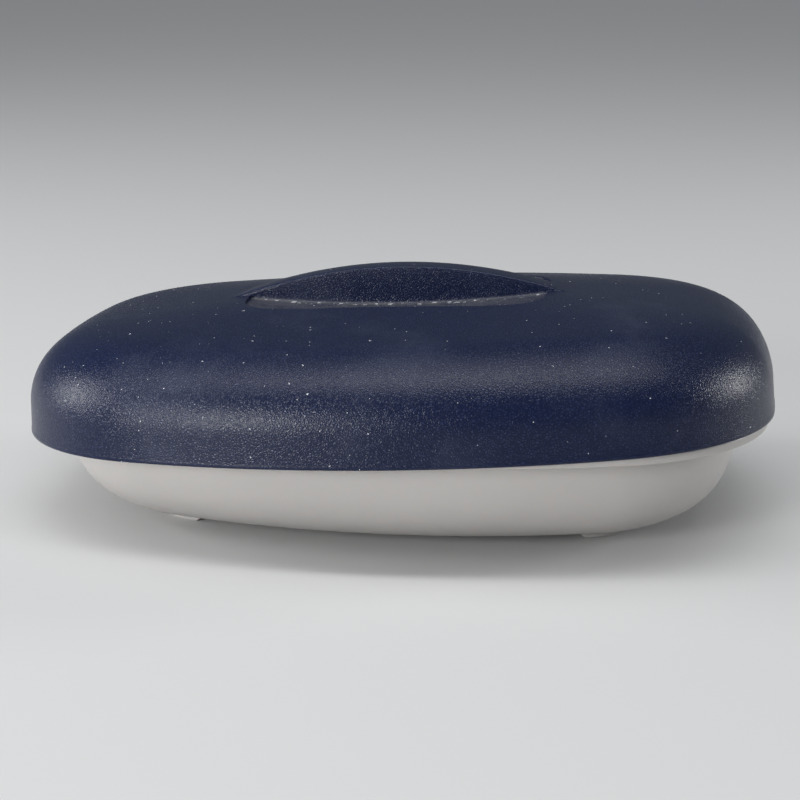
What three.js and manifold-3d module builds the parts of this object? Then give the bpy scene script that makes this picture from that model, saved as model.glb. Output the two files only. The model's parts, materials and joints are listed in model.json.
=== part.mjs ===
// A bento lunch box: a footed bowl, three loose dividers, a soft sealing inner lid and a domed outer
// lid that rests a little crooked, its right end not yet pressed down. Millimetres, +Z up.
// The origin is on the ground under the middle of the bowl, +X runs along the box to its right end.
import * as THREE from "three";
import { mergeVertices } from "three/addons/utils/BufferGeometryUtils.js";
import Module from "manifold-3d";

const wasm = await Module();
wasm.setup();

// Outline of the outer lid in plan: four wide arcs joined by round corners.
// Every other outline is this one, inset.
const HALF_LENGTH = 115;
const HALF_WIDTH = 83.5;
const SIDE_RADIUS = 246;
const END_RADIUS = 257;
const CORNER_RADIUS = 60;
const END_STEPS = 4;
const CORNER_STEPS = 9;
const SIDE_STEPS = 6;
const CURVE_STEPS = 9;

// Bowl, on its ground plane.
const RIM_TOP = 36;
const FLANGE_THICKNESS = 2.8;
const FLANGE_INSET = 2;
const BOWL_INSET = 11.6;
const BOWL_CURVE_INSET = 40.1;
const BOWL_CURVE = 2.55;
const BOWL_UNDERSIDE = 1.8;
const BOWL_WALL = 1.8;
const MOUTH_ROUNDING = 1;
const FOOT_INSET = 38.5;
const FOOT_WIDTH = 4;
const FOOT_ROOT = 3.1;
const FOOT_FROM_DEG = 37;
const FOOT_TO_DEG = 83;
const FOOT_STEPS = 6;

// Dividers.
const DIVIDER_THICKNESS = 1.6;
const DIVIDER_CLEARANCE = 0.6;
const DIVIDER_TOP = 29.5;
const CROSS_DIVIDER_X = 34;
const LAP_CLEARANCE = 0.4;
const DIVIDER_STEPS = 8;

// Inner lid, in its pressed-home place on the rim.
const SEAL_GAP = 0.35;
const SEAL_INSET = 5.3;
const SEAL_WIDTH = 3.4;
const SEAL_THICKNESS = 1.4;
const INNER_RIM_UNDERSIDE = 1.2;
const INNER_RIM_THICKNESS = 1.8;
const INNER_RIM_INSET = 2.8;
const PLUG_INSET = 14.8;
const PLUG_TAPER = 1;
const PLUG_DEPTH = 3;
const INNER_WALL = 1.3;
const VENT_HOLE_RADIUS = 3.4;
const VENT_STEM_RADIUS = 3;
const VENT_HEAD_RADIUS = 8;
const VENT_HEAD_HEIGHT = 3;
const VENT_STRAIGHT_HEIGHT = 1;
const VENT_CHAMFER_RADIUS = 5.6;
const VENT_CHAMFER_HEIGHT = 1.65;
const VENT_STEPS = 24;
const TAB_HALF_WIDTH = 9;
const TAB_HEIGHT = 9;
const TAB_LEAN_DEG = 25;
const TAB_INSET = 12;

// Outer lid, from the bottom edge of its skirt.
const LID_SEAT = 24.9;
const SKIRT_HEIGHT = 8.1;
const SKIRT_DRAFT = 0.5;
const SKIRT_WALL = 1.5;
const SHOULDER_WIDTH = 28.2;
const SHOULDER_HEIGHT = 23.5;
const SHOULDER_CURVE = 2.06;
const DECK_RISE = 0.5;
const CROWN = 6.75;
const CROWN_CURVE = 1.3;
const CROWN_SCALES = [0.8, 0.6, 0.4, 0.2, 0];
const LEDGE_INSET = 2.6;
const LEDGE_WIDTH = 2;
const LID_WALL = 2.3;

// Grip: a bar along the lid between two finger scoops that share one oval outline.
const SCOOP_HALF_LENGTH = 46.5;
const SCOOP_HALF_WIDTH = 28.3;
const SCOOP_SQUARENESS = 4.6;
const SCOOP_STEPS = 48;
const SCOOP_FLOOR = 32.6;
const SCOOP_FLOOR_RISE = 2.4;
const BAR_HALF_WIDTH = 5;
const BAR_TOP = 44.3;
const BAR_TOP_DROP = 7;
const BAR_HALF_LENGTH = 55;
const BAR_BEVEL = 0.8;
const BAR_CORE_HALF_LENGTH = 40;
const BAR_BEVEL_STEPS = 2;
const ARCH_STEPS = 20;

// The lids peel up about a line that touches the outline at its back left corner.
const PEEL_DIRECTION_DEG = 153;
const PEEL_AXIS_Z = 28;
const REST_TILT_DEG = 2.88;

const NAVY = new THREE.Color(0.035, 0.047, 0.09);
const OFF_WHITE = new THREE.Color(0.62, 0.61, 0.59);
const MILKY = new THREE.Color(0.78, 0.8, 0.8);
const SILICONE = new THREE.Color(0.35, 0.4, 0.46);

// ---------------------------------------------------------------- outlines and solids

// Centre and span of the corner arc that is tangent to the side arc and to the end arc.
function cornerArc() {
  const end = new THREE.Vector2(HALF_LENGTH - END_RADIUS, 0);
  const side = new THREE.Vector2(0, HALF_WIDTH - SIDE_RADIUS);
  const endReach = END_RADIUS - CORNER_RADIUS;
  const sideReach = SIDE_RADIUS - CORNER_RADIUS;
  const across = side.clone().sub(end);
  const gap = across.length();
  const along = (endReach ** 2 - sideReach ** 2 + gap ** 2) / (2 * gap);
  const off = Math.sqrt(endReach ** 2 - along ** 2);
  across.normalize();
  const centre = end.clone().addScaledVector(across, along);
  centre.add(new THREE.Vector2(-across.y, across.x).multiplyScalar(off));
  if (centre.y < 0) {
    centre.addScaledVector(new THREE.Vector2(-across.y, across.x), -2 * off);
  }
  const from = Math.atan2(centre.y - end.y, centre.x - end.x);
  const to = Math.atan2(centre.y - side.y, centre.x - side.x);
  return { centre, end, side, from, to };
}

const CORNER = cornerArc();

function arcPoints(centre, radius, from, to, steps) {
  const points = [];
  for (let i = 0; i < steps; i++) {
    const angle = from + ((to - from) * i) / steps;
    const reach = new THREE.Vector2(Math.cos(angle), Math.sin(angle)).multiplyScalar(radius);
    points.push(reach.add(centre));
  }
  return points;
}

const PEEL_ANGLE = THREE.MathUtils.degToRad(PEEL_DIRECTION_DEG);

// The outline's point that faces the peel direction (side 1) or straight away from it (side -1).
function cornerPoint(side, inset) {
  const reach = new THREE.Vector2(Math.cos(PEEL_ANGLE), Math.sin(PEEL_ANGLE));
  reach.multiplyScalar(CORNER_RADIUS - inset);
  return new THREE.Vector2(-CORNER.centre.x, CORNER.centre.y).add(reach).multiplyScalar(side);
}

// The closed outline, counter-clockwise from the middle of the right end.
// It has the same number of points at every inset.
function outline(inset) {
  const quarter = [
    ...arcPoints(CORNER.end, END_RADIUS - inset, 0, CORNER.from, END_STEPS),
    ...arcPoints(CORNER.centre, CORNER_RADIUS - inset, CORNER.from, CORNER.to, CORNER_STEPS),
    ...arcPoints(CORNER.side, SIDE_RADIUS - inset, CORNER.to, Math.PI / 2, SIDE_STEPS),
  ];
  const top = new THREE.Vector2(0, HALF_WIDTH - inset);
  const mirrored = quarter.slice(1).reverse().map((p) => new THREE.Vector2(-p.x, p.y));
  const upper = [...quarter, top, ...mirrored];
  const leftEnd = new THREE.Vector2(inset - HALF_LENGTH, 0);
  const lower = upper.slice(1).reverse().map((p) => new THREE.Vector2(p.x, -p.y));
  return [...upper, leftEnd, ...lower];
}

// A closed body around the box: a lathe whose every ring is moved onto the outline at its inset.
// A profile entry is [inset, z, scale]; scale below 1 draws the ring towards the middle, and 0 is the middle.
function outlineBody(profile) {
  const rings = profile.map(([inset, z, scale = 1]) => ({ points: outline(inset), z, scale }));
  const count = rings[0].points.length;
  const spun = new THREE.LatheGeometry(profile.map(([, z]) => new THREE.Vector2(1, z)), count);
  const position = spun.getAttribute("position");
  for (let i = 0; i < position.count; i++) {
    const ring = rings[i % rings.length];
    const point = ring.points[Math.floor(i / rings.length) % count];
    position.setXYZ(i, point.x * ring.scale, point.y * ring.scale, ring.z);
  }
  return toSolid(spun);
}

// Points of a quarter of a superellipse, from the outer upright end to the inner flat end.
function quarterCurve(inset, width, z, height, exponent) {
  const points = [];
  for (let i = 0; i <= CURVE_STEPS; i++) {
    const angle = (Math.PI / 2) * (i / CURVE_STEPS);
    const across = i === CURVE_STEPS ? 0 : Math.cos(angle) ** (2 / exponent);
    points.push([inset + width * (1 - across), z + height * Math.sin(angle) ** (2 / exponent)]);
  }
  return points;
}

// The shallow crown, from near its edge to its middle, where the scale is 0.
function crownPoints(inset, z, rise) {
  return CROWN_SCALES.map((scale) => [inset, z + rise * (1 - scale ** CROWN_CURVE), scale]);
}

function toSolid(geometry) {
  const bare = geometry.index ? geometry.clone() : geometry;
  bare.deleteAttribute("normal");
  bare.deleteAttribute("uv");
  const merged = mergeVertices(bare, 1e-4);
  const index = merged.index.array;
  const triangles = [];
  for (let i = 0; i < index.length; i += 3) {
    const [a, b, c] = [index[i], index[i + 1], index[i + 2]];
    if (a !== b && b !== c && c !== a) {
      triangles.push(a, b, c);
    }
  }
  const mesh = new wasm.Mesh({
    numProp: 3,
    vertProperties: new Float32Array(merged.getAttribute("position").array),
    triVerts: new Uint32Array(triangles),
  });
  return new wasm.Manifold(mesh);
}

function toGeometry(solid) {
  const mesh = solid.getMesh();
  const geometry = new THREE.BufferGeometry();
  geometry.setAttribute("position", new THREE.BufferAttribute(new Float32Array(mesh.vertProperties), 3));
  geometry.setIndex(Array.from(mesh.triVerts));
  geometry.computeVertexNormals();
  return geometry;
}

function node(name, solid, color, roughness) {
  const material = new THREE.MeshStandardMaterial({ color, roughness, metalness: 0 });
  const mesh = new THREE.Mesh(toGeometry(solid), material);
  mesh.name = name;
  return mesh;
}

// A shape drawn in X and Z, made into a wall that runs along Y from one face to the other.
function wallAlongY(shape, fromY, toY, bevel = 0) {
  const geometry = new THREE.ExtrudeGeometry(shape, {
    depth: toY - fromY - 2 * bevel,
    bevelEnabled: bevel > 0,
    bevelThickness: bevel,
    bevelSize: bevel,
    bevelOffset: -bevel,
    bevelSegments: BAR_BEVEL_STEPS,
    curveSegments: 12,
  });
  geometry.rotateX(Math.PI / 2);
  geometry.translate(0, toY - bevel, 0);
  return toSolid(geometry);
}

// ---------------------------------------------------------------- bowl

// Inset and height of the bowl's skin at a share of its curve, 0 under the flange and 1 at its flat bottom.
function bowlCurve(inset, top, bottom) {
  const width = BOWL_INSET + BOWL_CURVE_INSET - inset;
  return quarterCurve(inset, width, -top, top - bottom, BOWL_CURVE).map(([u, z]) => [u, -z]);
}

const BOWL_FLOOR = BOWL_UNDERSIDE + BOWL_WALL;
const MOUTH_INSET = BOWL_INSET + BOWL_WALL;

// One foot: a short wall along the bowl's corner, in the quarter that the signs name.
function foot(signX, signY) {
  const { x, y } = CORNER.centre;
  const [from, to] = [FOOT_FROM_DEG, FOOT_TO_DEG].map(THREE.MathUtils.degToRad);
  const outer = CORNER_RADIUS - FOOT_INSET;
  const quarter = new THREE.Shape();
  quarter.absarc(x, y, outer, from, to, false);
  quarter.absarc(x, y, outer - FOOT_WIDTH, to, from, true);
  const points = quarter.getPoints(FOOT_STEPS).map((p) => new THREE.Vector2(p.x * signX, p.y * signY));
  const shape = new THREE.Shape(points);
  return toSolid(new THREE.ExtrudeGeometry(shape, { depth: FOOT_ROOT, bevelEnabled: false }));
}

function baseBowl() {
  let bowl = outlineBody([
    [BOWL_INSET + BOWL_CURVE_INSET, BOWL_UNDERSIDE, 0],
    ...bowlCurve(BOWL_INSET, RIM_TOP - FLANGE_THICKNESS, BOWL_UNDERSIDE).reverse(),
    [FLANGE_INSET, RIM_TOP - FLANGE_THICKNESS],
    [FLANGE_INSET, RIM_TOP],
    [MOUTH_INSET - MOUTH_ROUNDING, RIM_TOP],
    ...bowlCurve(MOUTH_INSET, RIM_TOP - MOUTH_ROUNDING, BOWL_FLOOR),
    [BOWL_INSET + BOWL_CURVE_INSET, BOWL_FLOOR, 0],
  ]);
  for (const signX of [1, -1]) {
    for (const signY of [1, -1]) {
      bowl = bowl.add(foot(signX, signY));
    }
  }
  return bowl;
}

// ---------------------------------------------------------------- dividers

// How far the bowl's inner wall stands in from the lid's outline at a height.
function wallInset(z) {
  const top = RIM_TOP - MOUTH_ROUNDING;
  const sine = ((top - z) / (top - BOWL_FLOOR)) ** (BOWL_CURVE / 2);
  const cosine = Math.sqrt(1 - sine ** 2);
  return MOUTH_INSET + (BOWL_CURVE_INSET - BOWL_WALL) * (1 - cosine ** (2 / BOWL_CURVE));
}

// A divider standing across the bowl; halfSpan gives the bowl's half width there for a wall inset.
function dividerWall(halfSpan) {
  const right = [];
  for (let i = 0; i <= DIVIDER_STEPS; i++) {
    const share = 1 - Math.cos((Math.PI / 2) * (i / DIVIDER_STEPS));
    const z = BOWL_FLOOR + (DIVIDER_TOP - DIVIDER_CLEARANCE - BOWL_FLOOR) * share;
    right.push(new THREE.Vector2(halfSpan(wallInset(z)) - DIVIDER_CLEARANCE, z + DIVIDER_CLEARANCE));
  }
  const left = right.map((p) => new THREE.Vector2(-p.x, p.y)).reverse();
  return wallAlongY(new THREE.Shape([...right, ...left]), -DIVIDER_THICKNESS / 2, DIVIDER_THICKNESS / 2);
}

function slot(x, fromZ, toZ) {
  const width = DIVIDER_THICKNESS + 2 * LAP_CLEARANCE;
  const geometry = new THREE.BoxGeometry(width, 2 * width, toZ - fromZ);
  geometry.translate(x, 0, (fromZ + toZ) / 2);
  return toSolid(geometry);
}

const LAP_Z = (BOWL_FLOOR + DIVIDER_TOP) / 2;

function longDivider() {
  let wall = dividerWall((inset) => HALF_LENGTH - inset);
  for (const x of [-CROSS_DIVIDER_X, CROSS_DIVIDER_X]) {
    wall = wall.subtract(slot(x, LAP_Z, 2 * DIVIDER_TOP));
  }
  return wall;
}

function crossDivider() {
  const reachX = CROSS_DIVIDER_X + DIVIDER_THICKNESS / 2;
  const wall = dividerWall((inset) => CORNER.side.y + Math.sqrt((SIDE_RADIUS - inset) ** 2 - reachX ** 2));
  return wall.subtract(slot(0, 0, LAP_Z + LAP_CLEARANCE));
}

// ---------------------------------------------------------------- inner lid

const PANEL_UNDERSIDE = RIM_TOP - PLUG_DEPTH;
const PANEL_TOP = PANEL_UNDERSIDE + INNER_WALL;
const INNER_RIM_Z = RIM_TOP + INNER_RIM_UNDERSIDE;
const INNER_RIM_TOP = INNER_RIM_Z + INNER_RIM_THICKNESS;
const GROOVE_TOP = RIM_TOP + SEAL_GAP + SEAL_THICKNESS + SEAL_GAP;

function innerLid() {
  const plugBottom = PLUG_INSET + PLUG_TAPER;
  const body = outlineBody([
    [plugBottom, PANEL_UNDERSIDE, 0],
    [plugBottom, PANEL_UNDERSIDE],
    [PLUG_INSET, INNER_RIM_Z],
    [SEAL_INSET + SEAL_WIDTH + SEAL_GAP, INNER_RIM_Z],
    [SEAL_INSET + SEAL_WIDTH + SEAL_GAP, GROOVE_TOP],
    [SEAL_INSET - SEAL_GAP, GROOVE_TOP],
    [SEAL_INSET - SEAL_GAP, INNER_RIM_Z],
    [INNER_RIM_INSET, INNER_RIM_Z],
    [INNER_RIM_INSET, INNER_RIM_TOP],
    [PLUG_INSET + INNER_WALL, INNER_RIM_TOP],
    [plugBottom + INNER_WALL, PANEL_TOP],
    [plugBottom + INNER_WALL, PANEL_TOP, 0],
  ]);
  const hole = new THREE.CylinderGeometry(VENT_HOLE_RADIUS, VENT_HOLE_RADIUS, 4 * INNER_WALL, VENT_STEPS);
  hole.rotateX(Math.PI / 2);
  hole.translate(0, 0, (PANEL_UNDERSIDE + PANEL_TOP) / 2);
  return body.subtract(toSolid(hole)).add(pullTab());
}

// A soft tongue that stands on the rim at the front right corner and leans inwards.
function pullTab() {
  const shape = new THREE.Shape();
  shape.moveTo(-TAB_HALF_WIDTH, -INNER_WALL);
  shape.lineTo(TAB_HALF_WIDTH, -INNER_WALL);
  shape.lineTo(TAB_HALF_WIDTH, 0);
  shape.absellipse(0, 0, TAB_HALF_WIDTH, TAB_HEIGHT, 0, Math.PI, false);
  shape.lineTo(-TAB_HALF_WIDTH, -INNER_WALL);
  const extrusion = { depth: INNER_WALL, bevelEnabled: false, curveSegments: 10 };
  const geometry = new THREE.ExtrudeGeometry(shape, extrusion);
  geometry.rotateX(Math.PI / 2 + THREE.MathUtils.degToRad(TAB_LEAN_DEG));
  geometry.rotateZ(PEEL_ANGLE + Math.PI / 2);
  const foot = cornerPoint(-1, TAB_INSET);
  geometry.translate(foot.x, foot.y, INNER_RIM_TOP);
  return toSolid(geometry);
}

function sealRing() {
  const inner = SEAL_INSET + SEAL_WIDTH;
  const low = RIM_TOP + SEAL_GAP;
  const high = low + SEAL_THICKNESS;
  return outlineBody([
    [SEAL_INSET, low],
    [SEAL_INSET, high],
    [inner, high],
    [inner, low],
    [SEAL_INSET, low],
  ]);
}

function ventPlug() {
  const headZ = PANEL_TOP + SEAL_GAP;
  const profile = [
    new THREE.Vector2(0, PANEL_UNDERSIDE - INNER_WALL),
    new THREE.Vector2(VENT_STEM_RADIUS, PANEL_UNDERSIDE - INNER_WALL),
    new THREE.Vector2(VENT_STEM_RADIUS, headZ),
    new THREE.Vector2(VENT_HEAD_RADIUS, headZ),
    new THREE.Vector2(VENT_HEAD_RADIUS, headZ + VENT_STRAIGHT_HEIGHT),
    new THREE.Vector2(VENT_CHAMFER_RADIUS, headZ + VENT_CHAMFER_HEIGHT),
    new THREE.Vector2(VENT_STEM_RADIUS, headZ + VENT_HEAD_HEIGHT),
    new THREE.Vector2(0, headZ + VENT_HEAD_HEIGHT),
  ];
  const geometry = new THREE.LatheGeometry(profile, VENT_STEPS);
  geometry.rotateX(Math.PI / 2);
  return toSolid(geometry);
}

// ---------------------------------------------------------------- outer lid

// The deck starts a little above the shoulder curve's own end, so it runs on from it at a slope.
const DECK_Z = SKIRT_HEIGHT + SHOULDER_HEIGHT + DECK_RISE;
const LEDGE_Z = INNER_RIM_TOP + SEAL_GAP - LID_SEAT;

function lidOuter() {
  const deckInset = SKIRT_DRAFT + SHOULDER_WIDTH;
  const shoulder = quarterCurve(SKIRT_DRAFT, SHOULDER_WIDTH, SKIRT_HEIGHT, SHOULDER_HEIGHT, SHOULDER_CURVE);
  return outlineBody([
    [0, 0, 0],
    [0, 0],
    ...shoulder.slice(0, -1),
    [deckInset, DECK_Z],
    ...crownPoints(deckInset, DECK_Z, CROWN),
  ]);
}

function lidCavity() {
  const wallInset = LEDGE_INSET + LEDGE_WIDTH;
  const ceiling = DECK_Z - LID_WALL;
  const width = SKIRT_DRAFT + SHOULDER_WIDTH + LID_WALL / 2 - wallInset;
  return outlineBody([
    [SKIRT_WALL, -LID_WALL, 0],
    [SKIRT_WALL, -LID_WALL],
    [SKIRT_WALL, RIM_TOP - LID_SEAT],
    [LEDGE_INSET, LEDGE_Z],
    ...quarterCurve(wallInset, width, LEDGE_Z, ceiling - LEDGE_Z, SHOULDER_CURVE),
    ...crownPoints(wallInset + width, ceiling, CROWN),
  ]);
}

// The oval that both finger scoops share, from their floor upwards; grow widens it and lowers the floor.
function scoopOval(grow) {
  const oval = new THREE.Shape();
  for (let i = 0; i < SCOOP_STEPS; i++) {
    const angle = (2 * Math.PI * i) / SCOOP_STEPS;
    const x = Math.sign(Math.cos(angle)) * Math.abs(Math.cos(angle)) ** (2 / SCOOP_SQUARENESS);
    const y = Math.sign(Math.sin(angle)) * Math.abs(Math.sin(angle)) ** (2 / SCOOP_SQUARENESS);
    const point = [x * (SCOOP_HALF_LENGTH + grow), y * (SCOOP_HALF_WIDTH + grow)];
    if (i === 0) {
      oval.moveTo(...point);
    } else {
      oval.lineTo(...point);
    }
  }
  const prism = new THREE.ExtrudeGeometry(oval, { depth: BAR_TOP, bevelEnabled: false });
  prism.translate(0, 0, DECK_Z / 2);
  const floor = archShape(SCOOP_HALF_LENGTH + 2 * LID_WALL, 2 * BAR_TOP, (x) => {
    return SCOOP_FLOOR - grow + SCOOP_FLOOR_RISE * (x / SCOOP_HALF_LENGTH) ** 2;
  });
  return toSolid(prism).intersect(wallAlongY(floor, -HALF_WIDTH, HALF_WIDTH));
}

// A shape between a level line and an arch over or under it, from -halfLength to halfLength.
function archShape(halfLength, levelZ, archZ) {
  const points = [new THREE.Vector2(halfLength, levelZ), new THREE.Vector2(-halfLength, levelZ)];
  for (let i = 0; i <= ARCH_STEPS; i++) {
    const x = -halfLength + (2 * halfLength * i) / ARCH_STEPS;
    points.push(new THREE.Vector2(x, archZ(x)));
  }
  return new THREE.Shape(points);
}

// The grip bar, or with a wall thickness the hollow under it.
function gripBar(wall = 0) {
  const halfLength = wall ? BAR_CORE_HALF_LENGTH : BAR_HALF_LENGTH;
  const shape = archShape(halfLength, DECK_Z - 3 * LID_WALL, (x) => {
    return BAR_TOP - wall - BAR_TOP_DROP * (x / SCOOP_HALF_LENGTH) ** 2;
  });
  return wallAlongY(shape, wall - BAR_HALF_WIDTH, BAR_HALF_WIDTH - wall, wall ? 0 : BAR_BEVEL);
}

function lidShell() {
  const cavity = lidCavity().subtract(scoopOval(LID_WALL)).add(gripBar(LID_WALL));
  return lidOuter().subtract(scoopOval(0)).add(gripBar()).subtract(cavity);
}

// ---------------------------------------------------------------- assembly

const box = new THREE.Group();
box.add(node("base_bowl", baseBowl(), OFF_WHITE, 0.3));
box.add(node("divider_long", longDivider(), OFF_WHITE, 0.4));
for (const [side, x] of [["left", -CROSS_DIVIDER_X], ["right", CROSS_DIVIDER_X]]) {
  const divider = node(`divider_cross_${side}`, crossDivider(), OFF_WHITE, 0.4);
  divider.rotation.z = Math.PI / 2;
  divider.position.x = x;
  box.add(divider);
}

// Both lids are drawn pressed home and then turned up about the peel line to where they rest.
const pivot = new THREE.Vector3(cornerPoint(1, 0).x, cornerPoint(1, 0).y, PEEL_AXIS_Z);
const peelAxis = new THREE.Vector3(-Math.sin(PEEL_ANGLE), Math.cos(PEEL_ANGLE), 0);
const lids = new THREE.Group();
lids.position.copy(pivot);
lids.quaternion.setFromAxisAngle(peelAxis, THREE.MathUtils.degToRad(REST_TILT_DEG));
const pressedHome = new THREE.Group();
pressedHome.position.copy(pivot).negate();
lids.add(pressedHome);
box.add(lids);
pressedHome.add(node("inner_lid", innerLid(), MILKY, 0.45));
pressedHome.add(node("seal_ring", sealRing(), SILICONE, 0.6));
pressedHome.add(node("vent_plug", ventPlug(), SILICONE, 0.6));
const lidShellNode = node("lid_shell", lidShell(), NAVY, 0.4);
lidShellNode.position.z = LID_SEAT;
pressedHome.add(lidShellNode);

export default box;
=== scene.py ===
"""A bento lunch box: navy grained lid with a grip bar, seated a little crooked on a footed off-white bowl."""

import json
import math

import bmesh
import bpy
import numpy as np
from mathutils import Matrix, Vector


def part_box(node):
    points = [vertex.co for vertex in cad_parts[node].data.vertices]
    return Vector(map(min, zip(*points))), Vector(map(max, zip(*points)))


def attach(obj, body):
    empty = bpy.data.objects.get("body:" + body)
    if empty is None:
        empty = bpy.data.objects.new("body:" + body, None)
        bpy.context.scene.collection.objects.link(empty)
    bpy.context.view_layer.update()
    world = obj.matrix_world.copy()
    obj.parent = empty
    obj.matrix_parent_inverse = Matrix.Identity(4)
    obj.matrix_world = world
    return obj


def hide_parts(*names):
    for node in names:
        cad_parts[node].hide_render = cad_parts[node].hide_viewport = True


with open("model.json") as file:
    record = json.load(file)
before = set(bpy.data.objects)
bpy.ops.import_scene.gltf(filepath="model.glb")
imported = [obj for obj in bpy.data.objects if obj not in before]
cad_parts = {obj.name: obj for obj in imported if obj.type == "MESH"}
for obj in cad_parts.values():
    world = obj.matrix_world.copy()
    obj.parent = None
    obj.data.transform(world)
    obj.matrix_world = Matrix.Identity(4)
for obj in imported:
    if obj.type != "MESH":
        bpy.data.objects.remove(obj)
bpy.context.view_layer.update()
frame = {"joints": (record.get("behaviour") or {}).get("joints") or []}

MM = 0.001

# Outline of the outer lid in plan, in millimetres: wide arcs joined by round corners.
HALF_LENGTH = 115.0
HALF_WIDTH = 83.5
SIDE_RADIUS = 246.0
END_RADIUS = 257.0
CORNER_RADIUS = 60.0

# Bowl.
RIM_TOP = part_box("base_bowl")[1].z / MM
FLANGE_THICKNESS = 2.8
FLANGE_INSET = 2.0
BOWL_INSET = 11.6
BOWL_CURVE_INSET = 40.1
BOWL_CURVE = 2.55
BOWL_UNDERSIDE = 1.8
BOWL_WALL = 1.8
FLANGE_ROOT_ROUNDING = 0.8
FLANGE_LOWER_ROUNDING = 0.35
FLANGE_UPPER_ROUNDING = 0.6
MOUTH_ROUNDING = 1.0
MOUTH_INSET = BOWL_INSET + BOWL_WALL
BOWL_FLOOR = BOWL_UNDERSIDE + BOWL_WALL
FOOT_INSET = 38.5
FOOT_WIDTH = 4.0
FOOT_ROOT = 3.1
FOOT_DRAFT = 0.25
FOOT_ROUNDING = 0.55
FOOT_END_CURVE = 1.6
FOOT_END_LIFT = 0.8 * FOOT_ROOT
FOOT_FROM = math.radians(37)
FOOT_TO = math.radians(83)

# Dividers.
DIVIDER_THICKNESS = 1.6
DIVIDER_CLEARANCE = 0.6
DIVIDER_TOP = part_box("divider_long")[1].z / MM
DIVIDER_ROUNDING = 0.45
CROSS_DIVIDER_X = 34.0
LAP_CLEARANCE = 0.4
LAP_Z = (BOWL_FLOOR + DIVIDER_TOP) / 2

# Inner lid, seal ring and vent plug.
SEAL_GAP = 0.35
SEAL_INSET = 5.3
SEAL_WIDTH = 3.4
SEAL_THICKNESS = 1.4
SEAL_ROUNDING = 0.5
GROOVE_ROUNDING = 0.15
INNER_RIM_UNDERSIDE = 1.2
INNER_RIM_THICKNESS = 1.8
INNER_RIM_INSET = 2.8
INNER_RIM_Z = RIM_TOP + INNER_RIM_UNDERSIDE
INNER_RIM_TOP = INNER_RIM_Z + INNER_RIM_THICKNESS
PLUG_INSET = 14.8
PLUG_TAPER = 1.0
PLUG_DEPTH = 3.0
PLUG_BOTTOM = PLUG_INSET + PLUG_TAPER
INNER_WALL = 1.3
PANEL_FLAT = 2.0
PANEL_UNDERSIDE = RIM_TOP - PLUG_DEPTH
PANEL_TOP = PANEL_UNDERSIDE + INNER_WALL
GROOVE_TOP = RIM_TOP + 2 * SEAL_GAP + SEAL_THICKNESS
VENT_HOLE_RADIUS = 3.4
VENT_STEM_RADIUS = 3.0
VENT_HEAD_RADIUS = 8.0
VENT_HEAD_HEIGHT = 3.0
VENT_STRAIGHT_HEIGHT = 1.0
VENT_CHAMFER_RADIUS = 4.96
VENT_CHAMFER_HEIGHT = 1.5
TAB_HALF_WIDTH = 9.0
TAB_HEIGHT = 9.0
TAB_LEAN = math.radians(25)
TAB_INSET = 12.0
TAB_BEVEL = 0.4

# Outer lid, from the bottom edge of its skirt.
LID_SEAT = 24.9
SKIRT_HEIGHT = 8.1
SKIRT_DRAFT = 0.5
SKIRT_WALL = 1.5
EDGE_STRIP = 1.3
EDGE_STRIP_STEP = 0.12
EDGE_STRIP_BLEND = 0.1
SHOULDER_WIDTH = 28.2
SHOULDER_HEIGHT = 23.5
SHOULDER_CURVE = 2.06
DECK_SLOPE = 0.15
DECK_SLOPE_FROM = 25.0
DECK_SLOPE_BLEND = 1.5
CROWN = 6.75
CROWN_CURVE = 1.3
LEDGE_INSET = 2.6
LEDGE_WIDTH = 2.0
LEDGE_HEIGHT = 1.5
LID_WALL = 2.3
DECK_INSET = SKIRT_DRAFT + SHOULDER_WIDTH
LEDGE_Z = INNER_RIM_TOP + SEAL_GAP - LID_SEAT

# Grip: a bar along the lid between two finger scoops that share one oval outline.
SCOOP_HALF_LENGTH = 46.5
SCOOP_HALF_WIDTH = 28.3
SCOOP_SQUARENESS = 4.6
SCOOP_FLOOR = 32.6
SCOOP_FLOOR_RISE = 2.4
BAR_HALF_WIDTH = 5.0
BAR_TOP = 44.3
BAR_TOP_DROP = 7.0
BAR_FADE = 8.0
BAR_SOFTNESS = 0.12
BAR_FILLET_RADIUS = 0.8
CREST_ROUNDING = 0.8
CREST_SHARE = 0.6
CREST_DROP = 0.12
LIP_ROUNDING = 0.55
LIP_SHARE = 0.4
FILLET_RADIUS = 1.0
FILLET_SHARE = 0.45
SCOOP_END_FADE = 3.0

# How far the points along the bar follow the scoop's outline, and how far an even spacing.
BAR_FOLLOWS_OUTLINE = 0.55
BAR_FOLLOWS_SPACING = 0.45

# How much of the moulded grain is missing, and how much dust lies on the scoop's floor.
BAR_PLAIN = 0.2
WALL_PLAIN = 0.3
FILLET_PLAIN_LOSS = 0.5
DUST_AT_BAR = 0.6
DUST_LOSS = 0.2

# How finely a quarter of the outline is drawn.
STRIP_STEPS = 11
END_STEPS = 8
CORNER_STEPS = 36
SIDE_STEPS = 22

# How finely the profiles are drawn. ARC_SHARES are the steps of a quarter turn.
BOWL_STEPS = 40
SHOULDER_STEPS = 26
CAP_STEPS = 8
CREST_STEPS = 3
BAR_SIDE_STEPS = 4
FLOOR_STEPS = 8
WALL_STEPS = 3
OVAL_STEPS = 4000
ARC_SHARES = (0, 0.25, 0.5, 0.75, 1)

# How near in millimetres two points have to be to become one.
WELD = 0.004


# ---------------------------------------------------------------- outline


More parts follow.
